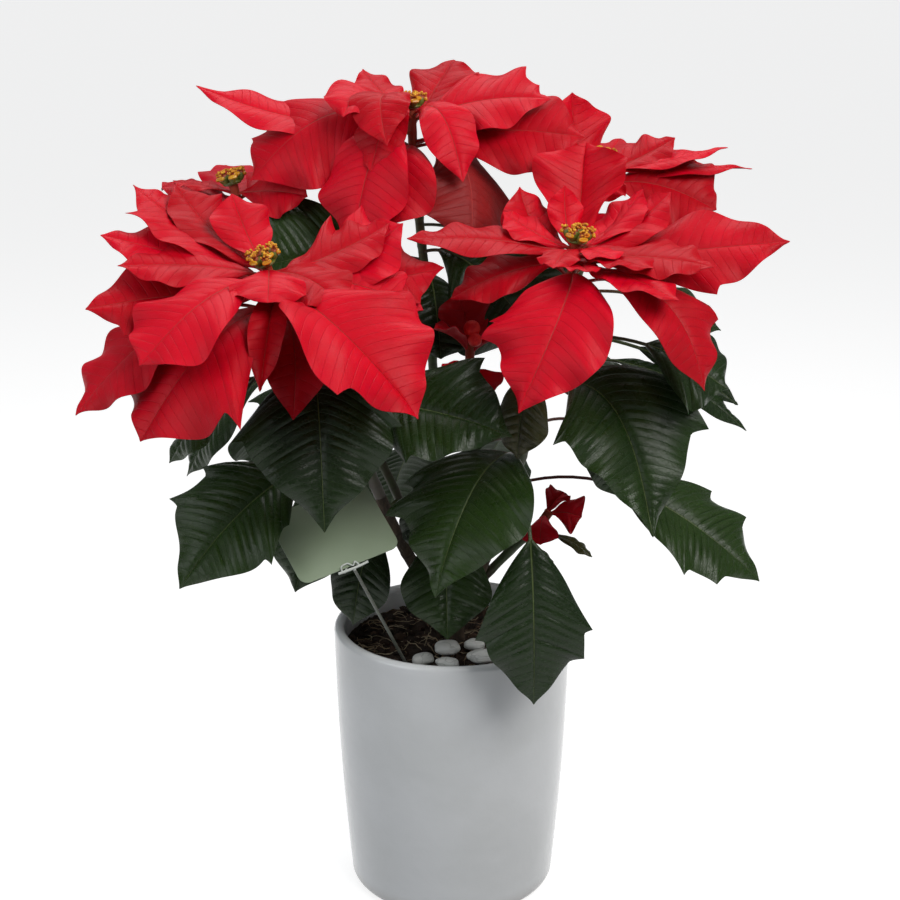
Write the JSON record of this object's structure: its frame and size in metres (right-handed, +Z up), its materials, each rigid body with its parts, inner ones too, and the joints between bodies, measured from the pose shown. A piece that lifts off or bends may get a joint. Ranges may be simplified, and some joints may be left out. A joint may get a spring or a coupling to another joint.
{
  "type": "potted poinsettia",
  "caption": "Potted poinsettia: red bract blooms and dark green leaves on forking woody stems, in a tall round glazed pot with soil, pebbles and a blank plant tag.",
  "frame": {"origin": "middle of the pot's flat base", "axes": "+Z up through the plant, -Y towards the pictured front, +X to its right"},
  "size_m": [0.4788, 0.3669, 0.6243],
  "materials": {
    "pot": "glossy off-white glaze",
    "soil": "dark loose potting soil with bark and fibres",
    "wood": "matte brown bark",
    "leaf": "satin dark green leaf",
    "bract": "satin bright red bract",
    "flower": "matte yellow-green cups with orange glands",
    "bud": "satin red bud",
    "pebble": "smooth matte white pebble",
    "card": "matte pale sage card, blank",
    "clip": "white plastic",
    "stake": "grey-green plastic"
  },
  "bodies": {
    "root": {"pot": "pot", "soil": "soil", "trunk": "wood", "leafy_stem_front_left": "leaf", "leafy_stem_front_right": "leaf", "leafy_stem_top": "leaf", "leafy_stem_back_left": "leaf", "leafy_stem_back_right": "leaf", "leafy_stem_young": "leaf", "leafy_stem_side": "leaf", "bracts_front_left": "bract", "bracts_front_right": "bract", "bracts_top": "bract", "bracts_back_left": "bract", "bracts_back_right": "bract", "bracts_young": "bract", "bracts_side": "bract", "flowers_front_left": "flower", "flowers_front_right": "flower", "flowers_top": "flower", "flowers_back_left": "flower", "flowers_back_right": "flower", "buds_young": "bud", "pebble_1": "pebble", "pebble_2": "pebble", "pebble_3": "pebble", "pebble_4": "pebble", "pebble_5": "pebble", "pebble_6": "pebble", "pebble_7": "pebble", "tag_card": "card", "tag_clip": "clip", "tag_stake": "stake"}
  },
  "joints": []
}
